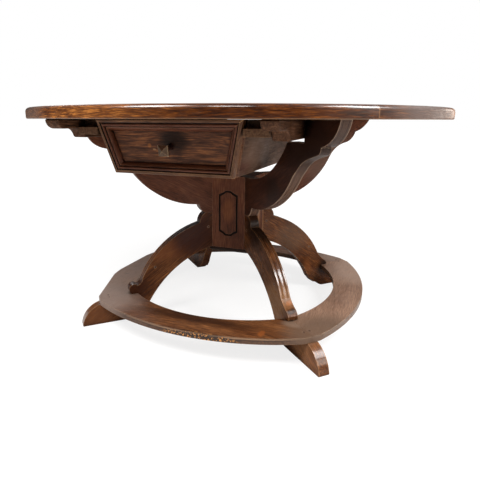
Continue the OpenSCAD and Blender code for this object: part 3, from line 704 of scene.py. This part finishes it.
def plank_joint(edge):
    """Picks the long straight arrises on the flat top."""
    a, b = edge.verts[0].co, edge.verts[1].co
    return min(a.z, b.z) > TABLE_TOP - 0.1 * MM and abs(a.x - b.x) > LONG_ARRIS


for i in range(PLANKS):
    node = "top_plank_%d" % (i + 1)
    plank = timber(node)
    soften(plank, 1.4, 2, 60.0, plank_joint)
    finish_piece(node + "_wood", plank, top_oaks[i], "table", [node], sharp=32.0)

# Battens, runners and stops

for side in ("left", "right"):
    dress("batten_" + side, batten_oak, width=4.5)
    dress("runner_" + side, runner_oak, width=1.5)
dress("drawer_stops", runner_oak, width=1.0)
keep("arm_dowels", peg_oak)

# Trestle boards

# Half section of a moulded edge: distance from the board's middle plane and depth, in millimetres
EDGE_SECTION = [(0.0, 0.0), (5.0, 0.15), (8.1, 0.9), (QUIRK, 2.6), (10.0, 0.8), (12.4, 0.0), (15.6, 0.3)]


def cut_depth(off):
    """Depth of the moulding on the cut line at a distance from the middle plane, or None beside it."""
    return next((depth for mark, depth in EDGE_SECTION if abs(off - mark) < 0.02), None)


def mould(bm, corner, on_edge):
    """Runs a bead, a quirk and a broad round along part of a board's edge."""
    n = across(corner)
    for d in sorted({sign * mark for mark, _ in EDGE_SECTION for sign in (-1, 1)}):
        bmesh.ops.bisect_plane(bm, geom=bm.verts[:] + bm.edges[:] + bm.faces[:], dist=1e-6,
                               plane_co=n * d * MM, plane_no=n)
    bm.normal_update()
    moves = []
    for vert in bm.verts:
        depth = cut_depth(abs(vert.co.dot(n) / MM))
        normal = vert.normal - n * vert.normal.dot(n)
        if not depth or normal.length < 0.2:
            continue
        normal.normalize()
        amount = on_edge(vert.co.dot(along(corner)) / MM, vert.co.z / MM, normal)
        if amount > 0:
            moves.append((vert, normal * (-depth * amount * MM)))
    for vert, move in moves:
        vert.co += move


def fade(value, start, full_from, full_to, end):
    """1 between the full marks, falling to 0 at the ends."""
    if value <= start or value >= end:
        return 0.0
    if value < full_from:
        return (value - start) / (full_from - start)
    if value > full_to:
        return (end - value) / (end - full_to)
    return 1.0


# Where the moulding starts, is full from and to, and ends, along a board's diagonal in millimetres
ARM_MOULDED, LEG_MOULDED = (165, 200, 385, 415), (188, 215, 372, 388)

# The moulding ends below the scroll of an arm, and above the foot of a leg
ARM_HIGHEST, LEG_LOWEST = 600, 140


def arm_edge(s, z, normal):
    """The hollow underside of an arm is moulded."""
    return fade(s, *ARM_MOULDED) if normal.z < -0.1 and z < ARM_HIGHEST else 0.0


def leg_edge(s, z, normal):
    """The round back of a leg is moulded."""
    return fade(s, *LEG_MOULDED) if normal.z > 0.1 and z > LEG_LOWEST else 0.0


for corner in CORNERS:
    arm = timber("arm_" + corner)
    soften(arm, 2.6, 2)
    mould(arm, corner, arm_edge)
    finish_piece("arm_%s_wood" % corner, arm, arm_oaks[corner], "table", ["arm_" + corner])
    leg = timber("leg_" + corner)
    soften(leg, 4.0, 3)
    mould(leg, corner, leg_edge)
    finish_piece("leg_%s_wood" % corner, leg, leg_oaks[corner], "table", ["leg_" + corner])
keep("leg_pegs", peg_oak)

# Middle of the trestle

# Least and greatest depth of a panel's groove behind its block's face, in millimetres, and the
# area that no face of a groove reaches, in square metres
GROOVE_DEPTHS = (0.4, 4.4)
GROOVE_FACE_AREA = 0.004


def in_groove(face):
    depth = (BLOCK_FACE - abs(face.calc_center_median().y)) / MM
    return GROOVE_DEPTHS[0] < depth < GROOVE_DEPTHS[1] and face.calc_area() < GROOVE_FACE_AREA


keep("core_post", post_oak)
for side in ("front", "back", "left", "right"):
    block = timber("block_" + side)
    soften(block, 1.5, 2, 60.0)
    if side in ("front", "back"):
        for face in block.faces:
            face.material_index = 1 if in_groove(face) else 0
    finish_piece("block_%s_wood" % side, block, [post_oak, groove_oak], "table",
                 ["block_" + side])
dress("base_plate", plate_oak, width=2.0)

# Footrest: its outer arrises lie beyond REST_OUTSIDE from the middle, its inner ones within REST_INSIDE

REST_OUTSIDE, REST_INSIDE = 0.47, 0.46
REST_ROUND = 7.0
SHORT_EDGE = 0.02


def rest_rim(height):
    """Picks the outer arris of a footrest board at a height."""
    def wanted(edge):
        a, b = edge.verts[0].co, edge.verts[1].co
        middle = (a + b) / 2
        return abs(a.z - b.z) < 1e-5 and abs(middle.z - height) < 1e-5 and middle.xy.length > REST_OUTSIDE
    return wanted


def rest_inside(edge):
    """Picks the curved inner arrises of a footrest board."""
    a, b = edge.verts[0].co, edge.verts[1].co
    level = abs(a.z - b.z) < 1e-5
    return level and (a - b).length < SHORT_EDGE and ((a + b) / 2).xy.length < REST_INSIDE


for side, material in rest_oaks.items():
    node = "footrest_" + side
    board = timber(node)
    for height in (REST_LOW, REST_HIGH):
        soften(board, REST_ROUND, 4, 35.0, rest_rim(height))
    soften(board, 4.0, 3, 50.0, rest_inside)
    soften(board, 0.5, 1, 50.0)
    finish_piece(node + "_wood", board, material, "table", [node])
keep("footrest_pegs", peg_oak)

# Drawer: its front leans back by 29 mm in a height of 148 mm, behind a frame that is 20 mm thick

LEAN = 29 / 148
FRAME_THICK = 20 * MM

# Section of the moulded frame in millimetres: distance from its outer edge, depth behind its face
FRAME_SECTION = [(0, 20), (0, 2.5), (0.8, 0.8), (2.4, 0.1), (8.2, 0), (9.2, 1.2), (9.9, 4.2), (10.9, 4.4),
                 (11.6, 2.6), (13.2, 1.1), (15.4, 0.7), (17.6, 1.6), (19.0, 3.6), (19.5, 6.6), (20.6, 6.9),
                 (21.2, 5.8), (23.6, 6.6), (26.4, 9.2), (29.0, 13.0), (31.0, 17.2), (32, 20)]

# Where each finish ends, from the outer edge, and its place in the list: lip, bead or quirk; the quirks are
# painted near black, as shade
FRAME_FINISHES = ((8.4, 0), (11.4, 2), (18.6, 1), (21.0, 2), (30.5, 1), (40.0, 2))


def half_width(z):
    return LOW_HALF + (TOP_HALF - LOW_HALF) * (z - DRAWER_LOW) / (DRAWER_TOP - DRAWER_LOW)


def face_y(z):
    return FRONT_Y + (DRAWER_TOP - z) * LEAN


def frame_corner(index, inset, behind):
    """A corner of the drawer's outline, drawn in and set back, counted from the bottom left."""
    z = DRAWER_LOW + inset if index in (0, 1) else DRAWER_TOP - inset
    x = half_width(z) - inset
    return Vector((x if index in (1, 2) else -x, face_y(z) + behind, z))


def frame_length(name, a, b, material):
    """One length of the moulding, from mitre to mitre."""
    bm = bmesh.new()
    start = [bm.verts.new(frame_corner(a, u * MM, v * MM)) for u, v in FRAME_SECTION]
    edges = [bm.edges.new((start[i], start[(i + 1) % len(start)])) for i in range(len(start))]
    made = bmesh.ops.extrude_edge_only(bm, edges=edges)["geom"]
    for vert in [v for v in made if isinstance(v, bmesh.types.BMVert)]:
        near = min(range(len(start)), key=lambda i: (start[i].co - vert.co).length)
        u, v = FRAME_SECTION[near]
        vert.co = frame_corner(b, u * MM, v * MM)
    for face in bm.faces:
        ends = [v for v in face.verts if v in start]
        middle = sum(FRAME_SECTION[start.index(v)][0] for v in ends) / len(ends)
        face.material_index = next(index for limit, index in FRAME_FINISHES if middle <= limit)
    bmesh.ops.contextual_create(bm, geom=start + edges)
    bmesh.ops.contextual_create(bm, geom=[e for e in made if isinstance(e, bmesh.types.BMEdge)])
    bmesh.ops.recalc_face_normals(bm, faces=bm.faces)
    finish_piece(name + "_wood", bm, material, "drawer", [name], sharp=50.0)


frame_length("frame_bottom", 0, 1, frame_oaks["level"])
frame_length("frame_right", 1, 2, frame_oaks["upright"])
frame_length("frame_top", 2, 3, frame_oaks["level"])
frame_length("frame_left", 3, 0, frame_oaks["upright"])
dress("drawer_front", drawer_oak, "drawer", 1.2)
for side in ("left", "right"):
    dress("drawer_side_" + side, side_oak, "drawer", 1.2)
    dress("hanger_" + side, runner_oak, "drawer", 1.2)
dress("drawer_back", side_oak, "drawer", 1.2)
dress("drawer_bottom", side_oak, "drawer", 0.6)
keep("hanger_pegs", peg_oak)
keep("knob_wedge", peg_oak)

# Knob, made upright and then laid square to the leaning front

KNOB_Z = (DRAWER_LOW + DRAWER_TOP) / 2 + 3 * MM
KNOB_PLACE = (Matrix.Translation((0, face_y(KNOB_Z) + FRAME_THICK, KNOB_Z))
              @ Matrix.Rotation(math.pi / 2 + math.atan(LEAN), 4, "X"))

# Head, in millimetres: half its width, its place along the neck, its sides, its border and its point
HEAD_HALF, HEAD_AT = 14.5, 40.2
SIDES_HIGH, BORDER_WIDE, BORDER_HIGH, POINT_HIGH = 4, 1.4, 0.8, 7

# Radius and height along the neck and its shank, in millimetres
NECK_SECTION = [(0, -33), (4.6, -33), (5, -32), (5, 0), (9.0, 0), (9.2, 0.8), (8.4, 2.6), (7.0, 8),
                (6.4, 20), (7.2, 33), (9.5, 40), (0, 40)]


def knob_neck():
    """Turned neck with its shank through the drawer front."""
    bm = bmesh.new()
    points = [bm.verts.new((r * MM, 0, z * MM)) for r, z in NECK_SECTION]
    edges = [bm.edges.new(pair) for pair in zip(points, points[1:])]
    bmesh.ops.spin(bm, geom=points + edges, cent=(0, 0, 0), axis=Z, angle=math.tau, steps=28,
                   use_merge=True)
    return bm


def knob_head():
    """Square head with a low pyramid of four facets."""
    bm = bmesh.new()
    base = Matrix.Translation((0, 0, HEAD_AT * MM)) @ Matrix.Rotation(math.pi / 4, 4, "Z")
    made = bmesh.ops.create_circle(bm, cap_ends=True, segments=4, radius=HEAD_HALF * MM * math.sqrt(2),
                                   matrix=base)
    face = made["verts"][0].link_faces[0]
    grown = bmesh.ops.extrude_face_region(bm, geom=[face])["geom"]
    raised = [g for g in grown if isinstance(g, bmesh.types.BMVert)]
    bmesh.ops.translate(bm, verts=raised, vec=(0, 0, SIDES_HIGH * MM))
    face = next(g for g in grown if isinstance(g, bmesh.types.BMFace))
    bmesh.ops.inset_region(bm, faces=[face], thickness=BORDER_WIDE * MM, depth=BORDER_HIGH * MM,
                           use_even_offset=True)
    point = face.calc_center_median() + Vector((0, 0, POINT_HIGH * MM))
    bmesh.ops.pointmerge(bm, verts=face.verts[:], merge_co=point)
    return bm


def lay_knob(bm):
    """Turns a part of the knob from upright to its place on the drawer."""
    bmesh.ops.remove_doubles(bm, verts=bm.verts, dist=0.01 * MM)
    bmesh.ops.recalc_face_normals(bm, faces=bm.faces)
    bmesh.ops.transform(bm, verts=bm.verts, matrix=KNOB_PLACE)
    bm.normal_update()
    return bm


neck = lay_knob(knob_neck())
finish_piece("drawer_knob_neck", neck, neck_oak, "drawer", ["drawer_knob"])

# Facets that look up are painted darker, as shade
head = lay_knob(knob_head())
for face in head.faces:
    face.material_index = 1 if face.normal.z > -0.05 else 0
finish_piece("drawer_knob_head", head, knob_oaks, "drawer", ["drawer_knob"], sharp=12.0)

# Floor and background


def lay_floor():
    """Pale floor that the camera sees as white away from the table, with the table's shadow on it."""
    mesh = bpy.data.meshes.new("floor")
    bm = bmesh.new()
    bmesh.ops.create_grid(bm, x_segments=1, y_segments=1, size=30)
    bm.to_mesh(mesh)
    bm.free()
    floor = bpy.data.objects.new("floor", mesh)
    scene.collection.objects.link(floor)

    pale = bpy.data.materials.new("pale_floor")
    pale.use_nodes = True
    n = Nodes(pale.node_tree)
    seen = n.add("ShaderNodeLightPath").outputs["Is Camera Ray"]
    far = n.length(n.add("ShaderNodeTexCoord").outputs["Object"])
    matt = n.add("ShaderNodeBsdfDiffuse", {"Color": (0.80, 0.79, 0.78, 1)})
    white = n.add("ShaderNodeEmission", {"Color": (1, 1, 1, 1), "Strength": 1.14})
    share = n.product(seen, n.step(far, 0.7, 2.6, 0.70, 1.0))
    both = n.add("ShaderNodeMixShader", {0: share, 1: matt.outputs[0], 2: white.outputs[0]})
    n.add("ShaderNodeOutputMaterial", {0: both.outputs[0]})
    mesh.materials.append(pale)


def hang_backdrop():
    """World that the camera sees as white, that lights softly and reflects as one dim band behind."""
    world = bpy.data.worlds.new("studio")
    world.use_nodes = True
    n = Nodes(world.node_tree)
    path = n.add("ShaderNodeLightPath").outputs
    axes = n.axes(n.add("ShaderNodeTexCoord").outputs["Generated"])
    direct = n.math("MAXIMUM", path["Is Camera Ray"], path["Is Transmission Ray"])
    band = n.product(n.step(axes["Y"], 0.0, 0.8, 0.0, 0.6), n.step(axes["Z"], 0.24, 0.50))
    glossy = n.product(path["Is Glossy Ray"], n.math("ADD", band, 0.06))
    diffuse = n.product(path["Is Diffuse Ray"], 0.34)
    strength = n.math("MAXIMUM", direct, n.math("MAXIMUM", glossy, diffuse))
    sky = n.add("ShaderNodeBackground", {"Color": (1, 1, 1, 1), "Strength": strength})
    n.add("ShaderNodeOutputWorld", {0: sky.outputs[0]})
    scene.world = world


lay_floor()
hang_backdrop()

# Light: three softboxes over the table and three low panels around it

WARM, WARMER, PLAIN = (1.0, 0.92, 0.84), (1.0, 0.90, 0.80), (1, 1, 1)
ROOM_MIDDLE = (0, 0, 0.45)
LOW_AIM, HIGH_AIM, RIGHT_AIM = (0, 0, 0.3), (0, 0, 0.5), (0.3, -0.4, 0.5)
RIM_LEFT, RIM_FRONT = (-0.1, -0.7, 0.74), (0.2, -0.68, 0.74)


def toward(azimuth, elevation, distance, middle=ROOM_MIDDLE):
    """Place at a distance from a middle, by its angle round the table and its angle up."""
    a, e = math.radians(azimuth), math.radians(elevation)
    step = Vector((math.cos(a) * math.cos(e), math.sin(a) * math.cos(e), math.sin(e)))
    return tuple(Vector(middle) + step * distance)


def softbox(name, place, aim, size, power, colour=PLAIN):
    """Rectangular lamp that looks at its aim: size in metres, power in watts."""
    lamp = bpy.data.lights.new(name, "AREA")
    lamp.shape = "RECTANGLE"
    lamp.size, lamp.size_y = size
    lamp.energy = power
    lamp.color = colour
    box = bpy.data.objects.new(name, lamp)
    box.location = place
    box.rotation_euler = (Vector(aim) - Vector(place)).to_track_quat("-Z", "Y").to_euler()
    scene.collection.objects.link(box)


softbox("softbox_left", toward(-124, 54, 2.4, RIM_LEFT), RIM_LEFT, (1.0, 1.2), 84)
softbox("softbox_front", toward(-75, 56, 2.3, RIM_FRONT), RIM_FRONT, (0.7, 0.5), 22)
softbox("softbox_right", toward(4, 44, 2.7, RIGHT_AIM), RIGHT_AIM, (1.0, 1.4), 92)
softbox("panel_right", toward(-14, 14, 3.0), LOW_AIM, (0.9, 0.9), 21, WARM)
softbox("panel_side", toward(46, 8, 3.2), HIGH_AIM, (1.2, 0.9), 17, WARMER)
softbox("panel_left", toward(146, 24, 3.0), LOW_AIM, (0.5, 0.3), 3)
